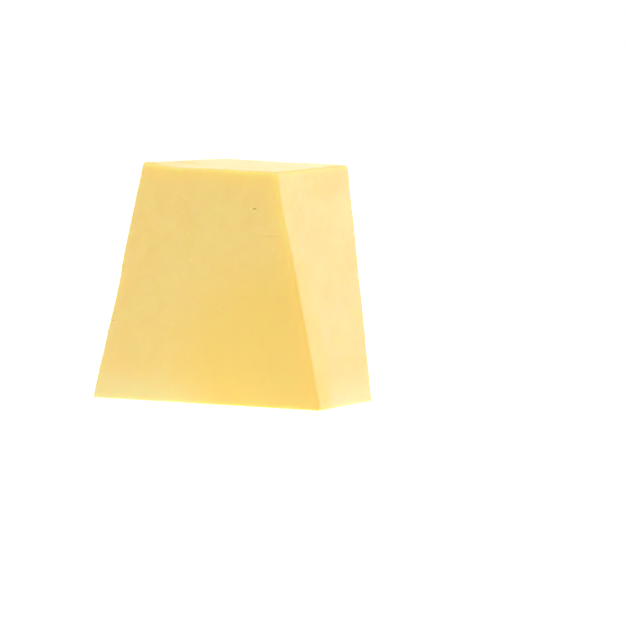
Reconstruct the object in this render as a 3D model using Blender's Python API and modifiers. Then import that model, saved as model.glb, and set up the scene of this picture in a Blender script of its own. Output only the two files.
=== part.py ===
"""A block of cheddar cheese.

The block is a tall wedge with its thin end cut off. It stands on its wide end, with its
large front face towards -Y. Wire cuts made every face, so the faces are nearly flat and
the edges between them are only a little worn.
"""

import math

import bmesh
import bpy
from mathutils import Vector

COLLECTION_NAME = "cheddar_block"
BLOCK_NAME = "cheese_block"

# The outline where the block stands, seen from above. The skews say how far the back
# corner of each side stands to the right of the front one.
BASE_WIDTH = 0.1331
BASE_DEPTH = 0.0553
BASE_LEFT_SKEW = 0.0077
BASE_RIGHT_SKEW = -0.0014

# The outline of the top. Its front left corner is placed from that of the base.
TOP_WIDTH = 0.0771
TOP_DEPTH = 0.0668
TOP_LEFT_SKEW = 0.0090
TOP_RIGHT_SKEW = 0.0032
TOP_LEFT_STEP_IN = 0.0341
TOP_FRONT_OVERHANG = 0.0057

# The cut across the top isn't quite level, so each corner has its own height.
HEIGHT_FRONT_LEFT = 0.1215
HEIGHT_FRONT_RIGHT = 0.1181
HEIGHT_BACK_RIGHT = 0.1180
HEIGHT_BACK_LEFT = 0.1194

# Where the wire wandered: how far, at which share of the way along, and over what spread.
LEFT_HOLLOW = 0.0009
LEFT_HOLLOW_AT = 0.45
LEFT_HOLLOW_SPREAD = 0.11
LOW_LEFT_HOLLOW = 0.0005
LOW_LEFT_HOLLOW_AT = 0.22
LOW_LEFT_HOLLOW_SPREAD = 0.10
RIGHT_HOLLOW = 0.0009
RIGHT_HOLLOW_AT = 0.84
RIGHT_HOLLOW_SPREAD = 0.09
FRONT_TOP_SAG = 0.0016
FRONT_TOP_SAG_AT = 0.20
FRONT_TOP_SAG_SPREAD = 0.16
FRONT_TOP_DIP = 0.0012
FRONT_TOP_DIP_AT = 0.50
FRONT_TOP_DIP_SPREAD = 0.38
BACK_TOP_SAG = 0.0004
BACK_TOP_SAG_AT = 0.50
BACK_TOP_SAG_SPREAD = 0.20
FRONT_BELLY = 0.0006
BACK_BELLY = 0.0005

# The wear of the edges: most where the front meets the right face and the top.
FRONT_RIGHT_EDGE_ROUNDING = 0.0021
FRONT_TOP_EDGE_ROUNDING = 0.0019
TOP_RIGHT_EDGE_ROUNDING = 0.0011
CRISP_EDGE_ROUNDING = 0.0009
BASE_EDGE_ROUNDING = 0.0005
ROUNDING_SEGMENTS = 3

# The slow unevenness of the cut faces, which fades out towards the flat base.
UNEVENNESS = 0.0006
UNEVENNESS_SIZE = 0.030
UNEVENNESS_STARTS_AT = 0.020

# How finely the faces are divided, so that they can bend.
CELLS_ALONG_WIDTH = 20
CELLS_ALONG_DEPTH = 11
CELLS_ALONG_HEIGHT = 18

FLAT_TOLERANCE = 0.00001

CHEESE_COLOUR = (0.90, 0.68, 0.26, 1.0)
CHEESE_ROUGHNESS = 0.5


def clear_scene():
    """Remove what a new Blender file holds."""
    for old in list(bpy.data.objects):
        bpy.data.objects.remove(old, do_unlink=True)


def make_collection(name):
    """A collection for the block, linked to the scene."""
    collection = bpy.data.collections.new(name)
    bpy.context.scene.collection.children.link(collection)
    return collection


def make_cheese_material():
    """Pale yellow cheese with a soft, slightly damp surface."""
    material = bpy.data.materials.new("cheddar")
    material.use_nodes = True
    shader = material.node_tree.nodes["Principled BSDF"]
    shader.inputs["Base Color"].default_value = CHEESE_COLOUR
    shader.inputs["Roughness"].default_value = CHEESE_ROUGHNESS
    shader.inputs["Metallic"].default_value = 0.0
    material.diffuse_color = CHEESE_COLOUR
    return material


def outline(start, width, depth, left_skew, right_skew, heights):
    """Four corners from the front left one, going round anticlockwise as seen from above."""
    x, y = start
    places = [
        (x, y),
        (x + width, y),
        (x + width + right_skew, y + depth),
        (x + left_skew, y + depth),
    ]
    return [Vector((px, py, height)) for (px, py), height in zip(places, heights)]


def base_corners():
    """The corners that the block stands on."""
    return outline((0.0, 0.0), BASE_WIDTH, BASE_DEPTH, BASE_LEFT_SKEW, BASE_RIGHT_SKEW, [0.0] * 4)


def top_corners():
    """The corners of the cut across the top."""
    start = (TOP_LEFT_STEP_IN, -TOP_FRONT_OVERHANG)
    heights = [HEIGHT_FRONT_LEFT, HEIGHT_FRONT_RIGHT, HEIGHT_BACK_RIGHT, HEIGHT_BACK_LEFT]
    return outline(start, TOP_WIDTH, TOP_DEPTH, TOP_LEFT_SKEW, TOP_RIGHT_SKEW, heights)


def inside_outline(corners, across, back):
    """The point at shares of the way across and towards the back of four corners."""
    front = corners[0].lerp(corners[1], across)
    rear = corners[3].lerp(corners[2], across)
    return front.lerp(rear, back)


def bump(share, centre, spread):
    """A smooth hill that is 1 at its centre and dies away over the spread."""
    return math.exp(-(((share - centre) / spread) ** 2))


def wander(across, back, up):
    """How far the wire strayed from the flat cut at these shares of the block."""
    front = 1.0 - back
    left = 1.0 - across
    belly = math.sin(math.pi * across) * math.sin(math.pi * up)
    left_hollow = LEFT_HOLLOW * bump(up, LEFT_HOLLOW_AT, LEFT_HOLLOW_SPREAD)
    left_hollow += LOW_LEFT_HOLLOW * bump(up, LOW_LEFT_HOLLOW_AT, LOW_LEFT_HOLLOW_SPREAD)
    right_hollow = RIGHT_HOLLOW * bump(up, RIGHT_HOLLOW_AT, RIGHT_HOLLOW_SPREAD)
    inwards = (left_hollow * left - right_hollow * across) * front
    front_sag = FRONT_TOP_SAG * bump(across, FRONT_TOP_SAG_AT, FRONT_TOP_SAG_SPREAD) * front
    back_sag = BACK_TOP_SAG * bump(across, BACK_TOP_SAG_AT, BACK_TOP_SAG_SPREAD) * back
    front_dip = FRONT_TOP_DIP * bump(across, FRONT_TOP_DIP_AT, FRONT_TOP_DIP_SPREAD) * front
    bulge = BACK_BELLY * belly * back - FRONT_BELLY * belly * front
    drop = (front_sag + front_dip + back_sag) * up
    return Vector((inwards, bulge, -drop))


def divide_cube(mesh):
    """Cut a unit cube into a grid of cells along each of its three directions."""
    counts = (CELLS_ALONG_WIDTH, CELLS_ALONG_DEPTH, CELLS_ALONG_HEIGHT)
    for axis, count in enumerate(counts):
        others = [other for other in range(3) if other != axis]
        along = []
        for edge in mesh.edges:
            run = edge.verts[1].co - edge.verts[0].co
            if all(abs(run[other]) < FLAT_TOLERANCE for other in others):
                along.append(edge)
        bmesh.ops.subdivide_edges(mesh, edges=along, cuts=count - 1, use_grid_fill=True)


def rounding_at(place):
    """How far the cube's edge at this place is rounded on the finished block."""
    on_front = place.y < FLAT_TOLERANCE
    on_right = place.x > 1.0 - FLAT_TOLERANCE
    on_top = place.z > 1.0 - FLAT_TOLERANCE
    if place.z < FLAT_TOLERANCE:
        return BASE_EDGE_ROUNDING
    if on_front and on_right:
        return FRONT_RIGHT_EDGE_ROUNDING
    if on_front and on_top:
        return FRONT_TOP_EDGE_ROUNDING
    if on_right and on_top:
        return TOP_RIGHT_EDGE_ROUNDING
    return CRISP_EDGE_ROUNDING


def mark_edges_to_round(mesh):
    """Weight the cube's twelve edges by how far each is rounded."""
    weights = mesh.edges.layers.float.new("bevel_weight_edge")
    for edge in mesh.edges:
        middle = (edge.verts[0].co + edge.verts[1].co) / 2.0
        at_side = [abs(abs(value - 0.5) - 0.5) < FLAT_TOLERANCE for value in middle]
        if sum(at_side) < 2:
            continue
        edge[weights] = rounding_at(middle) / FRONT_RIGHT_EDGE_ROUNDING


def cut_block(material):
    """The block with sharp edges: a divided cube carried to the eight measured corners."""
    mesh = bmesh.new()
    bmesh.ops.create_cube(mesh, size=1.0)
    bmesh.ops.translate(mesh, verts=mesh.verts, vec=(0.5, 0.5, 0.5))
    divide_cube(mesh)
    mark_edges_to_round(mesh)
    base = base_corners()
    top = top_corners()
    for vert in mesh.verts:
        across, back, up = vert.co
        low = inside_outline(base, across, back)
        high = inside_outline(top, across, back)
        vert.co = low.lerp(high, up) + wander(across, back, up)
    data = bpy.data.meshes.new(BLOCK_NAME)
    mesh.to_mesh(data)
    mesh.free()
    data.materials.append(material)
    return bpy.data.objects.new(BLOCK_NAME, data)


def apply_modifiers(block):
    """Keep the shape that the modifiers make, and drop the modifiers."""
    graph = bpy.context.evaluated_depsgraph_get()
    shaped = bpy.data.meshes.new_from_object(block.evaluated_get(graph), depsgraph=graph)
    sharp = block.data
    block.modifiers.clear()
    block.data = shaped
    bpy.data.meshes.remove(sharp)


def round_edges(block):
    """Round the twelve long edges by their weights."""
    bevel = block.modifiers.new("worn_edges", "BEVEL")
    bevel.limit_method = "WEIGHT"
    bevel.width = FRONT_RIGHT_EDGE_ROUNDING
    bevel.segments = ROUNDING_SEGMENTS
    bevel.harden_normals = False
    apply_modifiers(block)


def join_base(block):
    """Make the underside one flat face."""
    mesh = bmesh.new()
    mesh.from_mesh(block.data)
    floor = []
    for face in mesh.faces:
        if all(abs(vert.co.z) < FLAT_TOLERANCE for vert in face.verts):
            floor.append(face)
    bmesh.ops.dissolve_faces(mesh, faces=floor)
    mesh.to_mesh(block.data)
    mesh.free()


def add_unevenness(block):
    """Let the faces wave slowly by a few tenths of a millimetre, the base excepted."""
    group = block.vertex_groups.new(name="above_base")
    for vert in block.data.vertices:
        share = min(1.0, max(0.0, vert.co.z / UNEVENNESS_STARTS_AT))
        if vert.co.z > FLAT_TOLERANCE:
            group.add([vert.index], share * share, "REPLACE")
    texture = bpy.data.textures.new("uneven_cut", "CLOUDS")
    texture.noise_scale = UNEVENNESS_SIZE
    texture.noise_depth = 1
    displace = block.modifiers.new("uneven_cut", "DISPLACE")
    displace.texture = texture
    displace.texture_coords = "LOCAL"
    displace.vertex_group = group.name
    displace.strength = UNEVENNESS
    displace.mid_level = 0.5
    apply_modifiers(block)


def centre_on_base(block):
    """Put the middle of the box round the block over the origin, with the base at zero."""
    xs = [vert.co.x for vert in block.data.vertices]
    ys = [vert.co.y for vert in block.data.vertices]
    middle = Vector(((min(xs) + max(xs)) / 2.0, (min(ys) + max(ys)) / 2.0, 0.0))
    for vert in block.data.vertices:
        vert.co -= middle


def build_block():
    """Make the block, from the cut to the worn edges."""
    collection = make_collection(COLLECTION_NAME)
    block = cut_block(make_cheese_material())
    collection.objects.link(block)
    round_edges(block)
    join_base(block)
    add_unevenness(block)
    centre_on_base(block)
    block.data.shade_smooth()
    return block


clear_scene()
build_block()
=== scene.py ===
# %% [markdown]
# # A block of cheddar, from plain solid to cheese
#
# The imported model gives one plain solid: a tall wedge of cheese, cut with a wire, standing on
# its wide end. It has the right size and the right slow bends, and nothing else. In this
# lesson the block gets what makes it look like cheese: a fine skin that a wire has dragged
# across, a few small openings, worn edges, and flesh that lets light in.

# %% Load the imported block
import math
import random

import bpy
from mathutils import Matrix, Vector, noise


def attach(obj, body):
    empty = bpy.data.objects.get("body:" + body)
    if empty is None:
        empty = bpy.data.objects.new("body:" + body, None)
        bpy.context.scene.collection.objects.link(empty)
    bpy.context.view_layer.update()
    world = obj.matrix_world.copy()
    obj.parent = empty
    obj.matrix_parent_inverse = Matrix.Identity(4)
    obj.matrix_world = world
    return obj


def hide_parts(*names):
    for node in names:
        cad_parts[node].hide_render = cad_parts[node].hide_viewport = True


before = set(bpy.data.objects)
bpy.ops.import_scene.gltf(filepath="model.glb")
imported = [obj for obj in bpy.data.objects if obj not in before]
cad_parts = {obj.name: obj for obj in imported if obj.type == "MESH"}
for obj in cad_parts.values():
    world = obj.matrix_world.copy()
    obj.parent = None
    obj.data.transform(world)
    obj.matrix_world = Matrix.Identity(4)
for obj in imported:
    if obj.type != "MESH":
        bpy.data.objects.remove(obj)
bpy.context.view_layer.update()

MM = 0.001
CM = 0.01


def in_mm(lengths):
    """Lengths in millimetres, rounded for printing."""
    return [round(length / MM, 1) for length in lengths]


print("nodes in the frame:", sorted(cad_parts))

# %% [markdown]
# ## The camera
#
# The block is seen from far away and only a little from above, so its upright edges stay
# nearly parallel and the top shows as a thin strip. A short lens close by would make the base
# shrink away, so a long lens is used. Its length isn't guessed: it is worked out from how much
# of the block one pixel of the picture has to cover.

# %% Place the camera
CAMERA_AZIMUTH = 30.323
CAMERA_ELEVATION = 5.0
CAMERA_DISTANCE = 3.0
CAMERA_AIM = Vector((44.3, 3.9, 45.3)) * MM
PIXEL_SIZE = 0.5 * MM
PICTURE_WIDTH = 626
SENSOR_WIDTH_MM = 36.0
FARTHEST_VISIBLE = 100.0


def away_from_block(azimuth, elevation):
    """The unit vector from the block towards a viewer or a lamp, from two angles in degrees."""
    turn = math.radians(azimuth)
    rise = math.radians(elevation)
    level = math.cos(rise)
    return Vector((math.sin(turn) * level, -math.cos(turn) * level, math.sin(rise)))


def facing_block(away):
    """The turn that points a camera or a lamp at the block."""
    return (-away).to_track_quat("-Z", "Y").to_euler()


to_camera = away_from_block(CAMERA_AZIMUTH, CAMERA_ELEVATION)
bpy.ops.object.camera_add(
    location=CAMERA_AIM + CAMERA_DISTANCE * to_camera, rotation=facing_block(to_camera)
)
camera = bpy.context.object
camera.name = "picture_camera"
camera.data.sensor_width = SENSOR_WIDTH_MM
camera.data.lens = SENSOR_WIDTH_MM * CAMERA_DISTANCE / (PIXEL_SIZE * PICTURE_WIDTH)
camera.data.clip_end = FARTHEST_VISIBLE
bpy.context.scene.camera = camera
print("lens in mm:", round(camera.data.lens, 1))

# %% [markdown]
# ## A fine net for the skin
#
# The solid is made of triangles several millimetres across, and the marks of a wire are much
# finer. Each triangle could be divided again and again, but the thin ones along the edges
# would stay thin. Remeshing lays one even net of small squares over the whole block instead,
# so every later mark finds the same fineness wherever it falls. The solid itself is left
# alone: the work is done on a copy, which then stands for it.

# %% Helpers that select and apply as by hand
def work_on(piece):
    """Leave edit mode, and make one piece the only selected one."""
    if bpy.context.object and bpy.context.object.mode != "OBJECT":
        bpy.ops.object.mode_set(mode="OBJECT")
    bpy.ops.object.select_all(action="DESELECT")
    piece.select_set(True)
    bpy.context.view_layer.objects.active = piece


def apply_modifier(piece, modifier):
    """Make what one modifier does a lasting part of the mesh."""
    work_on(piece)
    bpy.ops.object.modifier_apply(modifier=modifier.name)


def edit_with_faces(piece, wanted):
    """Enter edit mode with only those faces selected that pass a test."""
    work_on(piece)
    bpy.ops.object.mode_set(mode="EDIT")
    bpy.ops.mesh.select_mode(type="FACE")
    bpy.ops.mesh.select_all(action="DESELECT")
    bpy.ops.object.mode_set(mode="OBJECT")
    picked = [face for face in piece.data.polygons if wanted(face)]
    for face in picked:
        face.select = True
    bpy.ops.object.mode_set(mode="EDIT")
    return len(picked)


# %% Copy the solid and turn its triangles back into faces
MERGE_DISTANCE = 0.01 * MM
MOST_BENT_PAIR = math.radians(20.0)
MOST_SKEWED_PAIR = math.radians(40.0)

solid = bpy.data.objects["cheese_block"]
block = solid.copy()
block.data = solid.data.copy()
block.name = "cheddar_skin"
block.data.name = "cheddar_skin"
bpy.context.scene.collection.objects.link(block)

work_on(block)
bpy.ops.object.mode_set(mode="EDIT")
bpy.ops.mesh.select_all(action="SELECT")
bpy.ops.mesh.remove_doubles(threshold=MERGE_DISTANCE)
bpy.ops.mesh.tris_convert_to_quads(
    face_threshold=MOST_BENT_PAIR, shape_threshold=MOST_SKEWED_PAIR
)
bpy.ops.object.mode_set(mode="OBJECT")
print("faces of the copy:", len(block.data.polygons))

# %% Smooth the facets away, then lay the even net
SMOOTHING_LEVELS = 2
NET_SIZE = 0.97 * MM

smoothing = block.modifiers.new("smooth_facets", "SUBSURF")
smoothing.levels = SMOOTHING_LEVELS
smoothing.render_levels = SMOOTHING_LEVELS
apply_modifier(block, smoothing)
block.data.remesh_voxel_size = NET_SIZE
bpy.ops.object.voxel_remesh()
print("faces of the net:", len(block.data.polygons))

# %% [markdown]
# ## Knowing the six faces
#
# The marks on a real block depend on where they are: edges wear, the middle of a cut stays
# smooth, and nothing marks the base that it stands on. We could name vertices by number, but
# those change with every edit. Measuring is safer. Each flat side is found by the way its
# faces look, and a place's distance from an edge is its distance from the second nearest side.
# The outline of the foot is measured as well, because the table will need it.

# %% Measure where each side lies
SIDE_DIRECTIONS = {
    "front": Vector((0.0, -1.0, 0.0)),
    "back": Vector((0.0, 1.0, 0.0)),
    "left": Vector((-1.0, 0.0, 0.0)),
    "right": Vector((1.0, 0.0, 0.0)),
    "top": Vector((0.0, 0.0, 1.0)),
    "base": Vector((0.0, 0.0, -1.0)),
}
SIDE_SPREAD = math.cos(math.radians(28.0))


def measure_side(piece, direction):
    """The middle and the mean normal of the faces that look in one direction."""
    middle = Vector()
    normal = Vector()
    area = 0.0
    for face in piece.data.polygons:
        if face.normal.dot(direction) > SIDE_SPREAD:
            middle += face.area * face.center
            normal += face.area * face.normal
            area += face.area
    return middle / area, normal.normalized(), area


sides = {name: measure_side(block, direction) for name, direction in SIDE_DIRECTIONS.items()}
for name, (middle, normal, area) in sides.items():
    print(name, "middle in mm:", in_mm(middle), "area in cm2:", round(area / CM ** 2, 1))


def depths_under_sides(place):
    """How far a place is from the plane of each side."""
    return {
        name: abs((place - middle).dot(normal))
        for name, (middle, normal, _) in sides.items()
    }


def edge_distance(place):
    """How far a place on the skin is from the nearest edge of the block."""
    return sorted(depths_under_sides(place).values())[1]


# %% Find the four lines that bound the foot
FOOT_BAND = 0.5 * MM
CORNER_WAYS = ((-1, -1), (1, -1), (1, 1), (-1, 1))

foot_places = [vertex.co for vertex in block.data.vertices if vertex.co.z < FOOT_BAND]
corners = [
    max(foot_places, key=lambda place: way[0] * place.x + way[1] * place.y)
    for way in CORNER_WAYS
]
foot_lines = []
for here, there in zip(corners, corners[1:] + corners[:1]):
    along = there - here
    outwards = Vector((along.y, -along.x, 0.0)).normalized()
    reach = outwards.dot(here)
    foot_lines.append((outwards, reach))
    print("towards", [round(value, 2) for value in outwards],
          "the foot reaches", round(reach / MM, 2), "mm")

# %% Divide the net once more along the edges
WORN_BAND = 2.0 * MM
EDGE_CUTS = 1
NET_EASING = 0.5
EASING_ROUNDS = 2

near_edges = edit_with_faces(block, lambda face: edge_distance(face.center) < WORN_BAND)
bpy.ops.mesh.subdivide(number_cuts=EDGE_CUTS, smoothness=0.0)
bpy.ops.mesh.vertices_smooth(factor=NET_EASING, repeat=EASING_ROUNDS)
bpy.ops.object.mode_set(mode="OBJECT")
print("faces along the edges:", near_edges, "faces in all:", len(block.data.polygons))

# %% [markdown]
# ## What the wire left behind
#
# A wire cuts cheddar in one pull. It bows a little, so the cut is never quite flat, and what
# sticks to it drags faint lines along the way it moved. Both are real shape, a few hundredths
# to a few tenths of a millimetre deep. A picture could fake them, but only from one side, so
# the net is displaced. The pattern of the drag lines is a cloud stretched along the pull: down
# the upright sides, and front to back across the top. A vertex group keeps the base flat.

# %% Groups that say where the wire's marks may show
CALM_ABOVE_BASE = 6.0 * MM
TOP_STARTS = 0.75
TURN_WIDTH = 0.2


def clamp(share):
    """A share, but no less than 0 and no more than 1."""
    return min(1.0, max(0.0, share))


def paint_group(piece, name, weight_at):
    """Make a vertex group whose weight at each vertex comes from its place and normal."""
    group = piece.vertex_groups.new(name=name)
    for vertex in piece.data.vertices:
        weight = weight_at(vertex.co, vertex.normal)
        if weight > 0.0:
            group.add([vertex.index], weight, "REPLACE")


def share_above_base(place):
    """0 at the base, growing to 1 a few millimetres above it."""
    return clamp(place.z / CALM_ABOVE_BASE)


def weight_of_upright(place, normal):
    """Full on the upright sides, none on the top and at the base."""
    return share_above_base(place) * clamp((TOP_STARTS - abs(normal.z)) / TURN_WIDTH)


def weight_of_top(place, normal):
    """Full on the top only."""
    return clamp((normal.z - TOP_STARTS) / TURN_WIDTH)


paint_group(block, "above_base", lambda place, normal: share_above_base(place))
paint_group(block, "upright_sides", weight_of_upright)
paint_group(block, "top", weight_of_top)
print("vertex groups:", [group.name for group in block.vertex_groups])

# %% Displace the skin by a stretched cloud
NOISE_MIDDLE = 0.5


def displace_by_cloud(piece, name, group, stretch, turn, strength, detail):
    """Move the skin in and out by a cloud of the size that an empty's scale gives."""
    bpy.ops.object.empty_add(rotation=turn)
    ruler = bpy.context.object
    ruler.scale = stretch
    bpy.context.view_layer.update()
    cloud = bpy.data.textures.new(name, "CLOUDS")
    cloud.noise_scale = 1.0
    cloud.noise_depth = detail
    displace = piece.modifiers.new(name, "DISPLACE")
    displace.texture = cloud
    displace.texture_coords = "OBJECT"
    displace.texture_coords_object = ruler
    displace.vertex_group = group
    displace.strength = strength
    displace.mid_level = NOISE_MIDDLE
    apply_modifier(piece, displace)
    bpy.data.objects.remove(ruler)
    bpy.data.textures.remove(cloud)


NO_TILT = (0.0, 0.0, 0.0)
DRAG_TILT = (0.0, math.radians(4.0), 0.0)
TOP_DRAG_TILT = (0.0, 0.0, math.radians(-7.0))
# Each is: name, vertex group, size of the patches, turn, height and levels of detail.
CLOUDS = (
    ("slow_waves", "above_base", Vector((17.0, 17.0, 21.0)) * MM, NO_TILT, 0.30 * MM, 1),
    ("drag_lines_down", "upright_sides", Vector((3.4, 3.4, 85.0)) * MM, DRAG_TILT, 0.10 * MM, 2),
    ("drag_lines_across", "top", Vector((3.4, 85.0, 3.4)) * MM, TOP_DRAG_TILT, 0.12 * MM, 2),
)

for name, group, stretch, turn, strength, detail in CLOUDS:
    displace_by_cloud(block, name, group, stretch, turn, strength, detail)
print("clouds laid on the skin:", [name for name, *_ in CLOUDS])

# %% [markdown]
# ## Worn edges
#
# Cheese crumbles a little wherever it is handled, and that is mostly at its edges: here and
# there a grain is missing, and the line of the edge wanders. A bevel would wear every edge
# alike. So each vertex near an edge sinks by its own small amount, read from a slow noise for
# the wandering and a quick one for the missing grains.

# %% Wear the edges
EDGE_WANDER = 0.22 * MM
EDGE_WANDER_SIZE = 9.0 * MM
GRAIN_DEPTH = 0.55 * MM
GRAIN_SIZE = 2.1 * MM
GRAIN_RARITY = 0.34
BASE_GUARD = 0.2 * MM


def wear_at(place):
    """How deep the skin has worn at a place, given how near the edge is."""
    nearness = max(0.0, 1.0 - edge_distance(place) / WORN_BAND)
    wander = 0.5 + 0.5 * noise.noise(place / EDGE_WANDER_SIZE)
    grain = max(0.0, noise.noise(place / GRAIN_SIZE) - GRAIN_RARITY)
    return nearness * (EDGE_WANDER * wander + GRAIN_DEPTH * grain)


places = [vertex.co.copy() for vertex in block.data.vertices]
normals = [vertex.normal.copy() for vertex in block.data.vertices]
wears = [wear_at(place) if place.z > BASE_GUARD else 0.0 for place in places]
for vertex, place, normal, wear in zip(block.data.vertices, places, normals, wears):
    vertex.co = place - wear * normal
print("deepest wear in mm:", round(max(wears) / MM, 2))

# %% [markdown]
# ## Small openings and grains
#
# Where two pieces of curd didn't quite knit, the wire uncovers a tiny opening: a pit or a short
# slit, a millimetre or two long. Beside it lie grains of curd that the wire pushed up and left
# on the skin, paler than the rest. A texture could tint such spots, but a real pit also catches
# a shadow and a real grain a little light. So the net is divided finely round each of these
# marks, and the vertices inside it are pushed in or out by a bowl-shaped profile with an uneven
# outline. The front has the ones that the cheese shows. On every side but the base a seeded
# draw scatters a few more.
# The openings are also painted darker, as painted shade on top of the shadow they catch.

# %% Where the front's marks are
# Each is: place along the front, height, length, width and depth in mm, and turn in degrees.
# A depth below zero is a grain that stands proud.
FRONT_OPENINGS = [
    (32.4, 99.4, 1.8, 0.8, 0.80, 12.0),
    (34.5, 98.3, 1.6, 0.6, 0.14, -35.0),
    (23.7, 54.5, 1.8, 1.3, 0.14, 25.0),
    (13.2, 49.2, 1.4, 0.9, 0.26, -20.0),
    (24.9, 39.6, 2.6, 0.7, 0.14, 78.0),
    (-18.3, 57.2, 1.2, 0.8, 0.12, 30.0),
    (-37.7, 48.3, 1.9, 0.7, 0.16, 50.0),
    (-53.0, 40.0, 1.4, 0.8, 0.36, 8.0),
    (-34.7, 14.0, 1.2, 0.8, 0.10, -15.0),
    (-38.8, 91.1, 1.1, 0.7, 0.10, 60.0),
    (43.6, 105.6, 1.0, 0.7, 0.12, 70.0),
    (-11.2, 98.8, 1.0, 0.6, 0.10, 20.0),
]
FRONT_GRAINS = [
    (30.2, 99.3, 1.5, 1.0, -0.10, 5.0),
    (32.2, 98.0, 1.5, 0.5, -0.06, 10.0),
    (42.0, 80.0, 1.6, 1.3, -0.12, 0.0),
    (-10.2, 65.5, 1.2, 0.8, -0.08, 30.0),
    (-14.2, 66.0, 1.1, 0.9, -0.06, -20.0),
    (-6.6, 85.6, 2.2, 0.6, -0.06, 88.0),
    (-9.3, 76.4, 0.9, 0.8, -0.06, 0.0),
    (-15.7, 101.9, 1.1, 0.7, -0.08, 15.0),
    (-9.2, 101.0, 2.0, 0.5, -0.06, 90.0),
    (-12.0, 100.2, 1.0, 0.8, -0.05, 0.0),
    (-38.6, 46.9, 1.2, 0.9, -0.08, 40.0),
    (-18.0, 40.0, 2.1, 0.6, -0.06, 3.0),
    (-3.8, 45.0, 1.4, 0.7, -0.06, 35.0),
    (9.6, 49.2, 2.0, 0.6, -0.05, -4.0),
    (46.0, 75.4, 1.8, 0.5, -0.05, 85.0),
    (-5.2, 72.6, 2.2, 0.5, -0.05, 84.0),
]
FRONT_SCRATCHES = [
    (40.4, 86.0, 15.0, 0.8, 0.12, 1.5),
    (-6.1, 90.1, 14.0, 1.2, 0.04, 88.0),
]
print("openings, grains and scratches:",
      len(FRONT_OPENINGS), len(FRONT_GRAINS), len(FRONT_SCRATCHES))

# %% Turn each one into a place, two directions and three sizes
# A skin that leans less than this from level has no level direction of its own.
LEANING = 0.5


def directions_on(normal, turn):
    """The long and the short direction of a mark on the skin, turned in the plane of the skin."""
    level = Vector((0.0, 0.0, 1.0)).cross(normal)
    if level.length < LEANING:
        level = Vector((1.0, 0.0, 0.0))
    level.normalize()
    rise = normal.cross(level)
    angle = math.radians(turn)
    long = math.cos(angle) * level + math.sin(angle) * rise
    return long, normal.cross(long)


def make_mark(place, normal, length, width, depth, turn):
    """A mark on the skin; its length, width and depth are given in mm and kept in metres."""
    long, short = directions_on(normal, turn)
    return {
        "place": place.copy(),
        "normal": normal.copy(),
        "long": long,
        "short": short,
        "half_length": length * MM / 2.0,
        "half_width": width * MM / 2.0,
        "depth": depth * MM,
    }


front_y = sides["front"][0].y
front_marks = []
for along, height, length, width, depth, turn in FRONT_OPENINGS + FRONT_GRAINS + FRONT_SCRATCHES:
    _, place, normal, _ = block.closest_point_on_mesh(Vector((along * MM, front_y, height * MM)))
    front_marks.append(make_mark(place, normal, length, width, depth, turn))
print("marks on the front:", len(front_marks))

# %% Scatter more of them by lot
# How long, how wide and how deep they may be, in mm.
OPEN_SIZES = ((0.7, 2.4), (0.45, 0.9), (0.2, 0.6))
CALM_SIZES = ((0.5, 0.8), (0.4, 0.6), (0.12, 0.28))
GRAIN_SIZES = ((0.7, 1.6), (0.5, 0.8), (-0.09, -0.04))
ANY_TURN = (0.0, 180.0)
# For each side: how many openings, what sizes they have, and how many grains.
SCATTERED = {
    "front": (6, CALM_SIZES, 3),
    "back": (19, OPEN_SIZES, 20),
    "left": (9, OPEN_SIZES, 9),
    "right": (5, CALM_SIZES, 7),
    "top": (6, OPEN_SIZES, 6),
}
CLEAR_OF_EDGE = 4.0 * MM
SEED = 41
draw = random.Random(SEED)


def places_on(side):
    """The faces of one side that lie well inside its edges."""
    direction = SIDE_DIRECTIONS[side]
    chosen = []
    for face in block.data.polygons:
        if face.normal.dot(direction) > SIDE_SPREAD and edge_distance(face.center) > CLEAR_OF_EDGE:
            chosen.append(face)
    return chosen


def scatter(candidates, count, sizes):
    """Draw marks of one kind on some of the faces."""
    drawn = []
    for _ in range(count):
        face = draw.choice(candidates)
        length, width, depth = (draw.uniform(low, high) for low, high in sizes)
        turn = draw.uniform(*ANY_TURN)
        drawn.append(make_mark(face.center, face.normal, length, width, depth, turn))
    return drawn


scattered_marks = []
for side, (openings, opening_sizes, grains) in SCATTERED.items():
    candidates = places_on(side)
    scattered_marks += scatter(candidates, openings, opening_sizes)
    scattered_marks += scatter(candidates, grains, GRAIN_SIZES)
marks = front_marks + scattered_marks
print("marks in all:", len(marks))

# %% Divide the net round every mark
MARK_MARGIN = 0.7 * MM
MARK_THICKNESS = 3.0 * MM
MARK_CUTS = 3


def inside_mark(mark, place, margin):
    """Whether a place is within a mark, with a margin round it."""
    offset = place - mark["place"]
    if abs(offset.dot(mark["normal"])) > MARK_THICKNESS:
        return False
    long = abs(offset.dot(mark["long"]))
    short = abs(offset.dot(mark["short"]))
    return long < mark["half_length"] + margin and short < mark["half_width"] + margin


near_marks = edit_with_faces(
    block, lambda face: any(inside_mark(mark, face.center, MARK_MARGIN) for mark in marks)
)
bpy.ops.mesh.subdivide(number_cuts=MARK_CUTS, smoothness=0.0)
bpy.ops.object.mode_set(mode="OBJECT")
print("faces round the marks:", near_marks, "faces in all:", len(block.data.polygons))

# %% Push the openings in and the grains out
OUTLINE_WOBBLE = 0.35
OUTLINE_WOBBLE_SIZE = 0.8 * MM
FARTHEST_OUTLINE = 1.6
BOWL_POWER = 0.6
FULL_PIT_SHADE_DEPTH = 0.5 * MM


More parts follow.
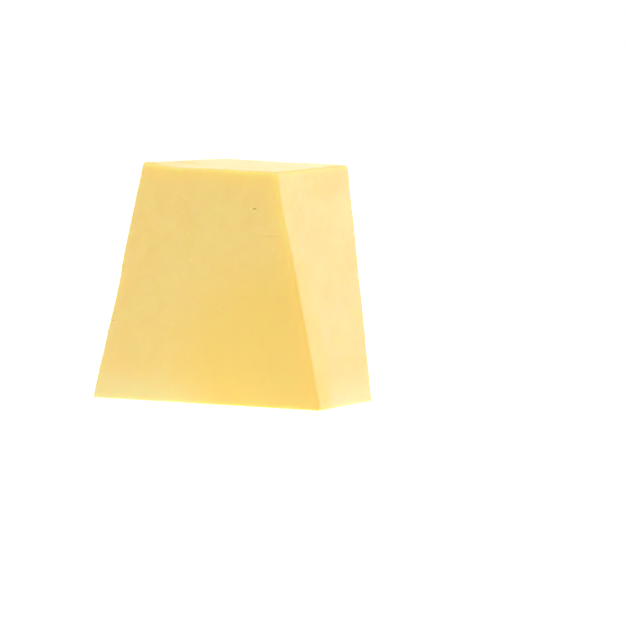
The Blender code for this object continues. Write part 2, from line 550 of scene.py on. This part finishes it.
def depth_in_mark(mark, place):
    """How deep the skin goes in at a place: 1 at the middle of a mark, 0 outside it."""
    offset = place - mark["place"]
    if abs(offset.dot(mark["normal"])) > MARK_THICKNESS:
        return 0.0
    long = offset.dot(mark["long"]) / mark["half_length"]
    short = offset.dot(mark["short"]) / mark["half_width"]
    reach = math.hypot(long, short)
    if reach > FARTHEST_OUTLINE:
        return 0.0
    reach += OUTLINE_WOBBLE * noise.noise(place / OUTLINE_WOBBLE_SIZE)
    return max(0.0, 1.0 - reach * reach) ** BOWL_POWER


def add_layer(piece, name, shares):
    """Keep one number for every vertex, for the material to read."""
    layer = piece.data.attributes.new(name, "FLOAT", "POINT")
    layer.data.foreach_set("value", shares)


# Besides the real hollow, each opening and scratch keeps a share of painted shade for its colour,
# more the deeper it goes.
pit_shade_shares = [0.0] * len(block.data.vertices)
grain_shares = [0.0] * len(block.data.vertices)
for vertex in block.data.vertices:
    for mark in marks:
        share = depth_in_mark(mark, vertex.co)
        if share > 0.0:
            if mark["depth"] > 0.0:
                pit_shade_shares[vertex.index] = share * min(1.0, mark["depth"] / FULL_PIT_SHADE_DEPTH)
            else:
                grain_shares[vertex.index] = share
            vertex.co -= share * mark["depth"] * mark["normal"]
            break
add_layer(block, "painted_pit_shade", pit_shade_shares)
add_layer(block, "grain", grain_shares)
print("vertices pushed in or out:", sum(share > 0.0 for share in pit_shade_shares + grain_shares))

# %% [markdown]
# ## How far the tone of an edge reaches
#
# Along an edge, light that enters one side comes out through the other, and the rounded crest
# catches light. Both are painted into the colour: a band a few millimetres wide is a deeper
# yellow, as painted glow of the light that comes through the edge, and the crest of the edge
# itself is pale, as a painted highlight. A material can't tell where an edge is, and a painted
# picture would have to be fitted to the shape. Two numbers kept at each vertex say it simply:
# how much of the painted glow it has, and how much of the painted highlight on the crest. They
# come from its distance from each edge, so they stay right whatever shape the net has.

# %% Keep the tone and the crest of the edges at every vertex
# Each edge is named by its two sides. The numbers are how strong the painted glow (a deeper
# yellow) is on the first side, how strong it is on the second, and how strong the painted
# highlight on the crest of the edge is.
EDGE_LOOKS = {
    ("front", "right"): (1.0, 0.30, 0.85),
    ("front", "top"): (1.0, 0.6, 1.0),
    ("right", "top"): (0.30, 0.1, 0.5),
    ("right", "back"): (0.0, 0.6, 0.0),
    ("back", "top"): (0.6, 0.3, 0.4),
    ("left", "top"): (0.5, 0.3, 0.4),
    ("back", "left"): (0.3, 0.3, 0.2),
    ("front", "left"): (0.0, 0.3, 0.0),
}
TONE_REACH = 7.5 * MM
CREST_HIGHLIGHT_REACH = 1.7 * MM
STRONG = 0.5


def fade(distance, reach):
    """1 at no distance, dying away smoothly over the reach."""
    return math.exp(-((distance / reach) ** 2))


def edge_look(place):
    """The shares of the painted glow and of the painted crest highlight at a place: the strongest
    from any edge.
    """
    depth = depths_under_sides(place)
    tone, crest = 0.0, 0.0
    for (one, other), (on_one, on_other, paleness) in EDGE_LOOKS.items():
        distance = math.hypot(depth[one], depth[other])
        share_of_one = depth[other] / max(distance, MERGE_DISTANCE)
        strength = on_one * share_of_one ** 2 + on_other * (1.0 - share_of_one ** 2)
        tone = max(tone, strength * fade(distance, TONE_REACH))
        crest = max(crest, paleness * fade(distance, CREST_HIGHLIGHT_REACH))
    return tone, crest


looks = [edge_look(vertex.co) for vertex in block.data.vertices]
add_layer(block, "painted_edge_glow", [tone for tone, crest in looks])
add_layer(block, "painted_crest_highlight", [crest for tone, crest in looks])
print("vertices with a strong tone:", sum(tone > STRONG for tone, crest in looks),
      "on a crest:", sum(crest > STRONG for tone, crest in looks))

# %% [markdown]
# ## A flat foot
#
# The block has stood on a board, so what it stands on is quite flat. The net leaves small waves
# there. Scaling the lowest vertices to nothing in height, from the level of the table, presses
# them flat in one step.

# %% Flatten what the block stands on
STANDING_REACH = 0.15 * MM

work_on(block)
bpy.ops.object.mode_set(mode="EDIT")
bpy.ops.mesh.select_mode(type="VERT")
bpy.ops.mesh.select_all(action="DESELECT")
bpy.ops.object.mode_set(mode="OBJECT")
for vertex in block.data.vertices:
    vertex.select = vertex.co.z < STANDING_REACH
bpy.ops.object.mode_set(mode="EDIT")
bpy.ops.transform.resize(value=(1.0, 1.0, 0.0), center_override=(0.0, 0.0, 0.0))
bpy.ops.object.mode_set(mode="OBJECT")
bpy.ops.object.shade_smooth()
block.vertex_groups.clear()
print("lowest and highest point in mm:",
      round(min(v.co.z for v in block.data.vertices) / MM, 3),
      round(max(v.co.z for v in block.data.vertices) / MM, 3))

# %% [markdown]
# ## The flesh
#
# Young cheddar is pale yellow and lets light in: red travels millimetres under the skin, blue
# almost nothing. That is why the edges glow a deeper yellow than the middle of a face.
# Subsurface scattering does this, and it follows the light from every side. On top of it come
# the differences of colour. The small ones are patches where the curds lie, thin seams between
# them and tiny pale specks. The large ones are mostly painted light: a painted glow of deeper
# yellow along the edges, a painted highlight on the crest of each edge, painted light from the
# floor on a pale foot, painted shade on the left margin, and a painted sheen that makes the
# right side creamier. Besides these, the lower right is a shade more golden.

# %% Helpers for building a material
def add_node(tree, kind, inputs=None, **settings):
    """Add a shader node, with settings by name and unlinked inputs by socket name or number."""
    node = tree.nodes.new(kind)
    for key, value in settings.items():
        setattr(node, key, value)
    for key, value in (inputs or {}).items():
        node.inputs[key].default_value = value
    return node


def join(tree, source, target):
    """Link an output socket to an input socket."""
    tree.links.new(source, target)


def add_noise(tree, place, scale, detail, roughness=0.5):
    """Soft noise with a scale in patches a metre."""
    inputs = {"Scale": scale, "Detail": detail, "Roughness": roughness}
    cloud = add_node(tree, "ShaderNodeTexNoise", inputs)
    join(tree, place, cloud.inputs["Vector"])
    return cloud.outputs["Fac"]


def add_range(tree, value, low, high, to_low=0.0, to_high=1.0, smooth=False):
    """Turn one range of values into another, without going past its ends."""
    step = add_node(
        tree,
        "ShaderNodeMapRange",
        {"From Min": low, "From Max": high, "To Min": to_low, "To Max": to_high},
        interpolation_type="SMOOTHSTEP" if smooth else "LINEAR",
        clamp=True,
    )
    join(tree, value, step.inputs["Value"])
    return step.outputs["Result"]


def add_math(tree, operation, first, second):
    """Combine two values, each a socket or a number."""
    step = add_node(tree, "ShaderNodeMath", operation=operation)
    for socket, value in zip(step.inputs, (first, second)):
        if isinstance(value, (int, float)):
            socket.default_value = value
        else:
            join(tree, value, socket)
    return step.outputs["Value"]


def add_tint(tree, share, under, over, blend="MIX"):
    """Lay one colour over another by a share; each colour is a socket or three numbers."""
    mix = add_node(tree, "ShaderNodeMix", data_type="RGBA", blend_type=blend)
    for name, value in (("A", under), ("B", over)):
        socket = [s for s in mix.inputs if s.name == name and s.type == "RGBA"][0]
        if isinstance(value, tuple):
            socket.default_value = (*value, 1.0)
        else:
            join(tree, value, socket)
    factor = [s for s in mix.inputs if s.name == "Factor" and s.type == "VALUE"][0]
    if isinstance(share, (int, float)):
        factor.default_value = share
    else:
        join(tree, share, factor)
    return [s for s in mix.outputs if s.type == "RGBA"][0]


def add_depth(tree, place, side):
    """How deep a place lies under one side of the block."""
    middle, normal, _ = sides[side]
    along = add_node(tree, "ShaderNodeVectorMath", {1: normal}, operation="DOT_PRODUCT")
    join(tree, place, along.inputs[0])
    return add_math(tree, "SUBTRACT", middle.dot(normal), along.outputs["Value"])


# %% Start the material and find its coordinates
flesh = bpy.data.materials.new("cheddar_flesh")
flesh.use_nodes = True
tree = flesh.node_tree
shader = tree.nodes["Principled BSDF"]
coordinates = add_node(tree, "ShaderNodeTexCoord").outputs["Object"]

WARP_SCALE = 55.0
WARP_REACH = 7.0 * MM
TO_NOISE_MIDDLE = (-NOISE_MIDDLE, -NOISE_MIDDLE, -NOISE_MIDDLE)

warp_noise = add_node(tree, "ShaderNodeTexNoise", {"Scale": WARP_SCALE, "Detail": 2.0})
join(tree, coordinates, warp_noise.inputs["Vector"])
warp_offset = add_node(tree, "ShaderNodeVectorMath", {1: TO_NOISE_MIDDLE}, operation="ADD")
join(tree, warp_noise.outputs["Color"], warp_offset.inputs[0])
warp_scaled = add_node(tree, "ShaderNodeVectorMath", {"Scale": WARP_REACH}, operation="SCALE")
join(tree, warp_offset.outputs["Vector"], warp_scaled.inputs[0])
warped = add_node(tree, "ShaderNodeVectorMath", operation="ADD")
join(tree, coordinates, warped.inputs[0])
join(tree, warp_scaled.outputs["Vector"], warped.inputs[1])
curd_place = warped.outputs["Vector"]
print("the curds are warped by up to", WARP_REACH * NOISE_MIDDLE / MM, "mm")

# %% Patches of paler and deeper curd
MIDDLE_YELLOW = (0.882, 0.670, 0.220)
PALE_YELLOW = (0.893, 0.690, 0.242)
DEEP_YELLOW = (0.876, 0.658, 0.208)
SLOW_PATCH_SCALE = 22.0
SLOW_PATCH_FADES = (0.35, 0.65)
CURD_PATCH_SCALE = 120.0
CURD_PATCH_FADES = (0.38, 0.66)
CURD_PATCH_SHARE = 0.65


def add_share(tree, value, share):
    """A part of a value."""
    return add_math(tree, "MULTIPLY", value, share)


slow_noise = add_noise(tree, coordinates, SLOW_PATCH_SCALE, detail=2.0)
slow_patches = add_range(tree, slow_noise, *SLOW_PATCH_FADES, smooth=True)
curd_noise = add_noise(tree, curd_place, CURD_PATCH_SCALE, detail=3.0)
curd_patches = add_range(tree, curd_noise, *CURD_PATCH_FADES, smooth=True)
colour = add_tint(tree, slow_patches, MIDDLE_YELLOW, DEEP_YELLOW)
colour = add_tint(tree, add_share(tree, curd_patches, CURD_PATCH_SHARE), colour, PALE_YELLOW)
print("patches in mm:",
      round(1.0 / SLOW_PATCH_SCALE / MM), "and", round(1.0 / CURD_PATCH_SCALE / MM))

# %% Seams between the curds
CURD_SCALE = 95.0
SEAM_WIDTH = 0.055
SEAM_PRESENCE_SCALE = 60.0
SEAM_PRESENCE_FADES = (0.45, 0.62)
SEAM_SHARE = 0.24
SEAM_YELLOW = (0.860, 0.610, 0.178)

curds = add_node(tree, "ShaderNodeTexVoronoi", {"Scale": CURD_SCALE}, feature="DISTANCE_TO_EDGE")
join(tree, curd_place, curds.inputs["Vector"])
seam = add_range(tree, curds.outputs["Distance"], 0.0, SEAM_WIDTH, 1.0, 0.0, smooth=True)
presence_noise = add_noise(tree, coordinates, SEAM_PRESENCE_SCALE, detail=1.0)
presence = add_range(tree, presence_noise, *SEAM_PRESENCE_FADES, smooth=True)
seam = add_share(tree, seam, presence)
colour = add_tint(tree, add_share(tree, seam, SEAM_SHARE), colour, SEAM_YELLOW)
print("size of a curd in mm:", round(1.0 / CURD_SCALE / MM, 1))

# %% Pale specks
SPECK_SCALE = 210.0
SPECK_RADII = (0.06, 0.14)
SPECK_RARITY = 0.90
SPECK_STEP = 0.03
SPECK_SHARE = 0.5
SPECK_YELLOW = (0.94, 0.77, 0.35)

specks = add_node(tree, "ShaderNodeTexVoronoi", {"Scale": SPECK_SCALE}, feature="F1")
join(tree, coordinates, specks.inputs["Vector"])
speck_size = add_range(tree, specks.outputs["Distance"], *SPECK_RADII, 1.0, 0.0, smooth=True)
speck_colour = add_node(tree, "ShaderNodeSeparateColor")
join(tree, specks.outputs["Color"], speck_colour.inputs["Color"])
speck_lot = speck_colour.outputs["Red"]
speck_chance = add_range(tree, speck_lot, SPECK_RARITY, SPECK_RARITY + SPECK_STEP)
speck = add_share(tree, speck_size, speck_chance)
colour = add_tint(tree, add_share(tree, speck, SPECK_SHARE), colour, SPECK_YELLOW)
print("about one cell in", round(1.0 / (1.0 - SPECK_RARITY)), "holds a pale speck")

# %% The tone and the crest of the edges, the openings and the grains
EDGE_GLOW_YELLOW = (0.922, 0.690, 0.187)
CREST_HIGHLIGHT_YELLOW = (0.975, 0.768, 0.236)
PIT_SHADE_YELLOW = (0.72, 0.49, 0.11)
GRAIN_YELLOW = (0.985, 0.785, 0.300)
EDGE_GLOW_PATCH_SCALE = 75.0
LEAST_EDGE_GLOW = 0.8
# Nearly all of a soft noise lies between these two values.
COMMON_NOISE = (0.3, 0.7)
PIT_SHADE_SHARE = 0.85
GRAIN_SHARE = 0.8
LAYERS = ("painted_pit_shade", "grain", "painted_edge_glow", "painted_crest_highlight")


def read_layer(tree, name):
    """The number that the mesh keeps for every vertex under one name."""
    return add_node(tree, "ShaderNodeAttribute", attribute_name=name).outputs["Fac"]


# Painted glow: a deeper yellow along the edges, of uneven strength, that stands for light coming
# through them.
edge_glow_noise = add_noise(tree, coordinates, EDGE_GLOW_PATCH_SCALE, detail=2.0)
uneven_edge_glow = add_range(tree, edge_glow_noise, *COMMON_NOISE, LEAST_EDGE_GLOW, 1.0)
edge_glow_share = add_share(tree, read_layer(tree, "painted_edge_glow"), uneven_edge_glow)
colour = add_tint(tree, edge_glow_share, colour, EDGE_GLOW_YELLOW)
# Painted highlight: the crest of each edge is painted pale, where a rounded edge catches light.
colour = add_tint(tree, read_layer(tree, "painted_crest_highlight"), colour, CREST_HIGHLIGHT_YELLOW)
# Painted shade: openings are darkened in the colour, standing for the shade inside them.
painted_pit_shade = add_share(tree, read_layer(tree, "painted_pit_shade"), PIT_SHADE_SHARE)
colour = add_tint(tree, painted_pit_shade, colour, PIT_SHADE_YELLOW)
grain = add_share(tree, read_layer(tree, "grain"), GRAIN_SHARE)
colour = add_tint(tree, grain, colour, GRAIN_YELLOW)
print("layers read:", [layer.name for layer in block.data.attributes if layer.name in LAYERS])

# %% The pale foot: painted light from the white floor
FLOOR_LIGHT_HEIGHT = 20.0 * MM
FLOOR_LIGHT_YELLOW = (0.872, 0.726, 0.310)

place_parts = add_node(tree, "ShaderNodeSeparateXYZ")
join(tree, coordinates, place_parts.inputs["Vector"])
# Painted light: the lowest part of every side is painted paler and creamier, for the white light
# that the floor throws up onto it.
floor_light_share = add_range(tree, place_parts.outputs["Z"], 0.0, FLOOR_LIGHT_HEIGHT, 1.0, 0.0, smooth=True)
colour = add_tint(tree, floor_light_share, colour, FLOOR_LIGHT_YELLOW)
print("the foot pales below", round(FLOOR_LIGHT_HEIGHT / MM), "mm")

# %% The golden lower right, painted shade on the left margin and a painted sheen on the right side
GOLDEN_YELLOW = (0.895, 0.652, 0.160)
GOLDEN_MIDDLE = Vector((50.0, -28.5, 19.0)) * MM
GOLDEN_SIZE = Vector((83.0, 20.0, 71.0)) * MM
GOLDEN_FADES = (0.45, 1.05)
LEFT_MARGIN = 9.0 * MM
LEFT_MARGIN_PAINTED_SHADE = (0.965, 0.995, 1.06)
RIGHT_PAINTED_SHEEN = (0.99, 0.976, 1.06)
# Down to the first depth a place is on the skin of that side, and past the second it isn't.
FRONT_SKIN = (1.5 * MM, 4.0 * MM)
LEFT_SKIN = (0.2 * MM, 0.8 * MM)
RIGHT_SKIN = (0.6 * MM, 1.6 * MM)

from_golden = add_node(tree, "ShaderNodeVectorMath", {1: GOLDEN_MIDDLE}, operation="SUBTRACT")
join(tree, coordinates, from_golden.inputs[0])
golden_shares = add_node(tree, "ShaderNodeVectorMath", {1: GOLDEN_SIZE}, operation="DIVIDE")
join(tree, from_golden.outputs["Vector"], golden_shares.inputs[0])
golden_distance = add_node(tree, "ShaderNodeVectorMath", operation="LENGTH")
join(tree, golden_shares.outputs["Vector"], golden_distance.inputs[0])
golden_reach = golden_distance.outputs["Value"]
golden = add_range(tree, golden_reach, *GOLDEN_FADES, 1.0, 0.0, smooth=True)
colour = add_tint(tree, golden, colour, GOLDEN_YELLOW)

# Painted shade: the front's left margin is made a little darker and cooler, to hold back light
# that the low back soft box sends round the left edge.
under_left = add_depth(tree, coordinates, "left")
painted_left_shade = add_range(tree, under_left, 0.0, LEFT_MARGIN, 1.0, 0.0, smooth=True)
painted_left_shade = add_share(tree, painted_left_shade, add_range(tree, under_left, *LEFT_SKIN))
on_front = add_range(tree, add_depth(tree, coordinates, "front"), *FRONT_SKIN, 1.0, 0.0)
colour = add_tint(tree, add_share(tree, painted_left_shade, on_front), colour, LEFT_MARGIN_PAINTED_SHADE, "MULTIPLY")
# Painted sheen: the right side is made paler and creamier, for the light that glances off its
# skin.
right_sheen_share = add_range(tree, add_depth(tree, coordinates, "right"), *RIGHT_SKIN, 1.0, 0.0)
colour = add_tint(tree, right_sheen_share, colour, RIGHT_PAINTED_SHEEN, "MULTIPLY")
join(tree, colour, shader.inputs["Base Color"])
print("nodes that make the colour:", len(tree.nodes))

# %% How light goes in and how the skin shines
LIGHT_REACH = 6.0 * MM
SHARES_OF_REACH = (1.0, 0.55, 0.15)
FAT_IOR = 1.46
SHINE_LEVEL = 0.55
SHINE_SCALE = 48.0
ROUGHNESSES = (0.36, 0.50)

shader.inputs["Subsurface Weight"].default_value = 1.0
shader.inputs["Subsurface Radius"].default_value = SHARES_OF_REACH
shader.inputs["Subsurface Scale"].default_value = LIGHT_REACH
shader.inputs["IOR"].default_value = FAT_IOR
shader.inputs["Specular IOR Level"].default_value = SHINE_LEVEL
shine_patches = add_noise(tree, coordinates, SHINE_SCALE, detail=4.0)
uneven_shine = add_range(tree, shine_patches, *COMMON_NOISE, *ROUGHNESSES)
join(tree, uneven_shine, shader.inputs["Roughness"])
print("red light travels", round(LIGHT_REACH / MM, 1), "mm under the skin")

# %% [markdown]
# ## The finest marks
#
# Below a few tenths of a millimetre a mesh would need millions of faces. Such marks don't
# change the outline, only the way the light breaks on the skin, so they are left to a bump:
# hair-thin drag lines, a fine grain and the seams. Each gets its true height in metres.

# %% Add the finest marks as bumps
LINE_HEIGHT = 0.05 * MM
GRAIN_HEIGHT = 0.045 * MM
SEAM_HEIGHT = 0.03 * MM
LINES_A_METRE = (900.0, 900.0, 14.0)
FINE_GRAIN_SCALE = 850.0

line_mapping = add_node(tree, "ShaderNodeMapping", {"Scale": LINES_A_METRE, "Rotation": DRAG_TILT})
join(tree, coordinates, line_mapping.inputs["Vector"])
hair_lines = add_noise(tree, line_mapping.outputs["Vector"], scale=1.0, detail=2.0)
fine_grain = add_noise(tree, coordinates, FINE_GRAIN_SCALE, detail=4.0, roughness=0.6)


def add_bump(tree, height, distance, under=None):
    """Raise the skin where the height is large; bumps are stacked by their normals."""
    bump = add_node(tree, "ShaderNodeBump", {"Strength": 1.0, "Distance": distance})
    join(tree, height, bump.inputs["Height"])
    if under is not None:
        join(tree, under, bump.inputs["Normal"])
    return bump.outputs["Normal"]


skin_normal = add_bump(tree, hair_lines, LINE_HEIGHT)
skin_normal = add_bump(tree, fine_grain, GRAIN_HEIGHT, skin_normal)
skin_normal = add_bump(tree, add_math(tree, "SUBTRACT", 1.0, seam), SEAM_HEIGHT, skin_normal)
join(tree, skin_normal, shader.inputs["Normal"])

block.data.materials.clear()
block.data.materials.append(flesh)
print("nodes in the material:", len(tree.nodes))

# %% [markdown]
# ## Let the skin stand for the solid
#
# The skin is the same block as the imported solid, only finer. The solid stays in the model to
# carry its weight, and it is hidden where the skin is shown.

# %% Replace the solid
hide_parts("cheese_block")
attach(block, "root")
print("the skin rides on the root and replaces:", solid.name)

# %% [markdown]
# ## A pale floor and soft light
#
# A pale block on a pale floor needs light from all round, or it turns grey at its foot. So the
# sky is an even white tent, and the floor is a white table that glows of its own, as a light
# table does, and more so round the block. Under the block it stays dark, because what is
# covered lights nothing. A soft box hangs overhead. One stands low behind the right side, where
# it glances off the skin and turns that side creamy, and two behind the block do the same for
# the top. Two weak ones in front lift the front and the near edge.

# %% Lay the floor
FLOOR_SIZE = 40.0
FLOOR_DROP = 0.1 * MM
FLOOR_WHITE = (0.50, 0.50, 0.50, 1.0)
FLOOR_ROUGHNESS = 0.9
FLOOR_GLOW = 0.82
MIDDLE_GLOW = 0.30
MIDDLE_REACH = Vector((0.110, 0.075))
MIDDLE_FADES = (0.5, 1.0)
WHITE = (1.0, 1.0, 1.0, 1.0)

bpy.ops.mesh.primitive_plane_add(size=FLOOR_SIZE, location=(0.0, 0.0, -FLOOR_DROP))
floor = bpy.context.object
floor.name = "pale_floor"
table_white = bpy.data.materials.new("table_white")
table_white.use_nodes = True
table_shader = table_white.node_tree.nodes["Principled BSDF"]
table_shader.inputs["Base Color"].default_value = FLOOR_WHITE
table_shader.inputs["Roughness"].default_value = FLOOR_ROUGHNESS
table_shader.inputs["Specular IOR Level"].default_value = 0.0
table_shader.inputs["Emission Color"].default_value = WHITE
table_tree = table_white.node_tree
middle_scale = (1.0 / MIDDLE_REACH.x, 1.0 / MIDDLE_REACH.y, 0.0)
table_place = add_node(table_tree, "ShaderNodeMapping", {"Scale": middle_scale})
table_spot = add_node(table_tree, "ShaderNodeTexCoord").outputs["Object"]
join(table_tree, table_spot, table_place.inputs["Vector"])
from_middle = add_node(table_tree, "ShaderNodeVectorMath", operation="LENGTH")
join(table_tree, table_place.outputs["Vector"], from_middle.inputs[0])
near_middle = add_range(
    table_tree, from_middle.outputs["Value"], *MIDDLE_FADES, MIDDLE_GLOW, 0.0, smooth=True
)
glow = add_math(table_tree, "ADD", near_middle, FLOOR_GLOW)
print("glow of the table:", FLOOR_GLOW, "and round the block:", round(FLOOR_GLOW + MIDDLE_GLOW, 2))

# %% Leave the table dark under the block
DARK_MARGIN = 1.2 * MM
GLOW_MARGIN = 0.4 * MM

outside = -FLOOR_SIZE
for outwards, reach in foot_lines:
    along = add_node(table_tree, "ShaderNodeVectorMath", {1: outwards}, operation="DOT_PRODUCT")
    join(table_tree, table_spot, along.inputs[0])
    beyond_line = add_math(table_tree, "SUBTRACT", along.outputs["Value"], reach)
    outside = add_math(table_tree, "MAXIMUM", outside, beyond_line)
uncovered = add_range(table_tree, outside, -DARK_MARGIN, -GLOW_MARGIN)
glow = add_math(table_tree, "MULTIPLY", glow, uncovered)
join(table_tree, glow, table_shader.inputs["Emission Strength"])
floor.data.materials.append(table_white)
print("the table stops glowing", round(GLOW_MARGIN / MM, 1), "mm inside the foot")

# %% Light the tent
TENT_BRIGHTNESS = 0.40

tent = bpy.data.worlds.new("white_tent")
tent.use_nodes = True
background = tent.node_tree.nodes["Background"]
background.inputs["Color"].default_value = WHITE
background.inputs["Strength"].default_value = TENT_BRIGHTNESS
bpy.context.scene.world = tent
bpy.context.scene.view_settings.view_transform = "Standard"
print("brightness of the tent:", TENT_BRIGHTNESS)

# %% Hang the soft boxes
# Each is: name, azimuth and elevation in degrees, distance and size in metres, power in watts.
SOFT_BOXES = (
    ("overhead_softbox", -10.0, 82.0, 1.2, 0.7, 6.0),
    ("low_side_softbox", 140.0, 14.0, 2.2, 1.0, 14.2),
    ("low_back_softbox", 210.0, 10.0, 2.2, 1.0, 6.6),
    ("high_back_softbox", 174.0, 30.0, 2.2, 0.8, 2.5),
    ("front_softbox", -5.0, 48.0, 1.6, 0.7, 2.5),
    ("edge_softbox", 60.0, 14.0, 1.8, 0.8, 1.5),
)


def hang_softbox(name, azimuth, elevation, distance, size, power):
    """A square soft light that faces the block, unseen by the camera."""
    away = away_from_block(azimuth, elevation)
    bpy.ops.object.light_add(type="AREA", location=distance * away, rotation=facing_block(away))
    lamp = bpy.context.object
    lamp.name = name
    lamp.data.shape = "SQUARE"
    lamp.data.size = size
    lamp.data.energy = power
    lamp.visible_camera = False
    print(name, "from azimuth", azimuth, "and elevation", elevation)


for soft_box in SOFT_BOXES:
    hang_softbox(*soft_box)
